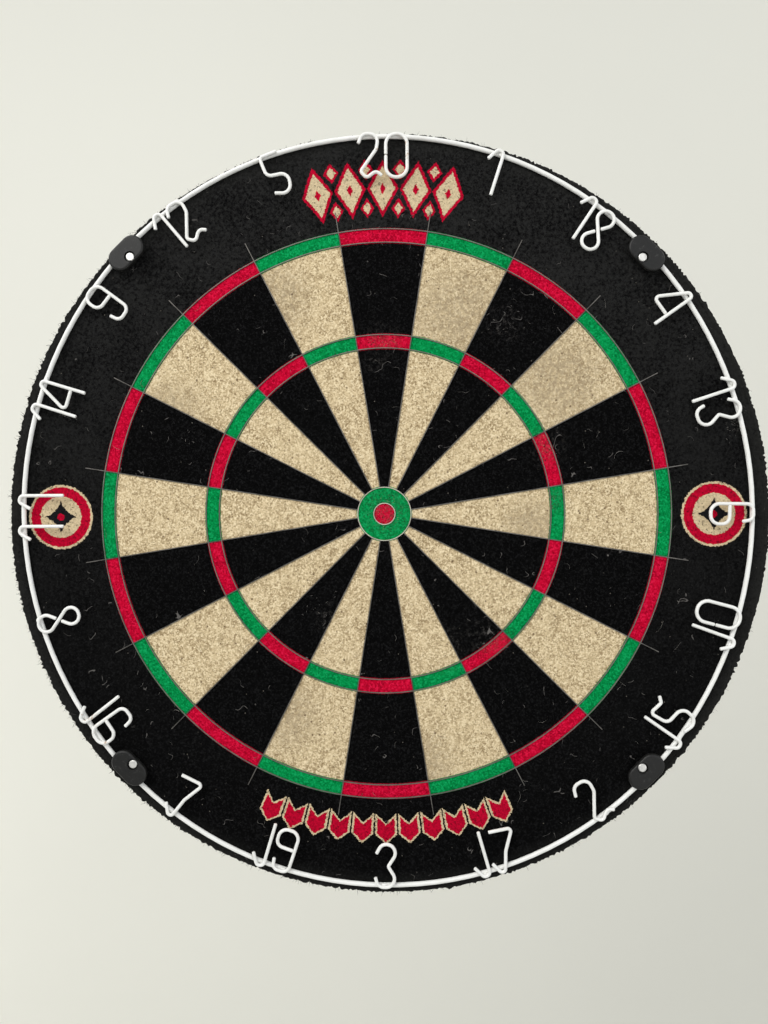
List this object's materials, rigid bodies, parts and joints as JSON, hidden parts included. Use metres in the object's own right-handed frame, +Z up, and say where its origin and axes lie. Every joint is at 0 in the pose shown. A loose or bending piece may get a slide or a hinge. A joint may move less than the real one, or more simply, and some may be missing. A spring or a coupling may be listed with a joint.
{
  "type": "bristle dartboard",
  "caption": "Round bristle dartboard with steel blade wiring, a removable wire number ring held by plastic clips, and a slotted wall bracket to hang it from.",
  "frame": {"origin": "where the board's axis meets the wall, at the centre of the bracket's four screw holes", "axes": "+Z up, -Y from the wall towards the player, +X to the player's right"},
  "size_m": [0.4508, 0.057, 0.4527],
  "materials": {
    "sisal_black": "matte",
    "sisal_natural": "matte",
    "sisal_red": "matte",
    "sisal_green": "matte",
    "chipboard": "matte",
    "band_steel": "satin",
    "rivet_steel": "satin",
    "blade_steel": "satin",
    "ring_paint": "gloss",
    "clip_plastic": "satin",
    "pin_steel": "polished",
    "zinc_screw": "satin",
    "pad_rubber": "matte",
    "bracket_steel": "satin",
    "nylon": "satin"
  },
  "bodies": {
    "bracket": {"wall_bracket": "bracket_steel"},
    "hanger": {"hanger_bush": "nylon"},
    "board": {"sisal_core": "sisal_black", "sisal_surround": "sisal_black", "sisal_black_fields": "sisal_black", "sisal_natural_fields": "sisal_natural", "sisal_red_fields": "sisal_red", "sisal_green_fields": "sisal_green", "radial_blades": "blade_steel", "double_outer_blade": "blade_steel", "double_inner_blade": "blade_steel", "treble_outer_blade": "blade_steel", "treble_inner_blade": "blade_steel", "outer_bull_ring": "blade_steel", "bull_ring": "blade_steel", "backing_board": "chipboard", "steel_band": "band_steel", "band_strap": "band_steel", "band_rivets": "rivet_steel", "centre_screw": "zinc_screw", "centre_washer": "zinc_screw", "standoff_pads": "pad_rubber", "pad_screws": "zinc_screw"},
    "number_ring": {"number_ring_hoop": "ring_paint", "numeral_20": "ring_paint", "numeral_1": "ring_paint", "numeral_18": "ring_paint", "numeral_4": "ring_paint", "numeral_13": "ring_paint", "numeral_6": "ring_paint", "numeral_10": "ring_paint", "numeral_15": "ring_paint", "numeral_2": "ring_paint", "numeral_17": "ring_paint", "numeral_3": "ring_paint", "numeral_19": "ring_paint", "numeral_7": "ring_paint", "numeral_16": "ring_paint", "numeral_8": "ring_paint", "numeral_11": "ring_paint", "numeral_14": "ring_paint", "numeral_9": "ring_paint", "numeral_12": "ring_paint", "numeral_5": "ring_paint"},
    "clip_1": {"ring_clip_1": "clip_plastic", "clip_pin_1": "pin_steel"},
    "clip_2": {"ring_clip_2": "clip_plastic", "clip_pin_2": "pin_steel"},
    "clip_3": {"ring_clip_3": "clip_plastic", "clip_pin_3": "pin_steel"},
    "clip_4": {"ring_clip_4": "clip_plastic", "clip_pin_4": "pin_steel"}
  },
  "joints": [
    {"name": "board_lift", "type": "slide", "parent": "bracket", "child": "hanger", "axis": [0, 0, 1], "range_m": [0, 0.035]},
    {"name": "board_turn", "type": "hinge", "parent": "hanger", "child": "board", "pos_m": [0, 0, 0], "axis": [0, 1, 0], "continuous": true},
    {"name": "number_ring_lift_off", "type": "slide", "parent": "board", "child": "number_ring", "axis": [0, -1, 0], "range_m": [0, 0.04]},
    {"name": "clip_1_turn", "type": "hinge", "parent": "number_ring", "child": "clip_1", "pos_m": [0.15206, -0.054, 0.14943], "axis": [0, -1, 0], "range_deg": [0, 180]},
    {"name": "clip_2_turn", "type": "hinge", "parent": "number_ring", "child": "clip_2", "pos_m": [0.15073, -0.054, -0.14968], "axis": [0, -1, 0], "range_deg": [0, 180]},
    {"name": "clip_3_turn", "type": "hinge", "parent": "number_ring", "child": "clip_3", "pos_m": [-0.15031, -0.054, -0.14822], "axis": [0, -1, 0], "range_deg": [0, 180]},
    {"name": "clip_4_turn", "type": "hinge", "parent": "number_ring", "child": "clip_4", "pos_m": [-0.15018, -0.054, 0.15335], "axis": [0, -1, 0], "range_deg": [0, 180]}
  ]
}
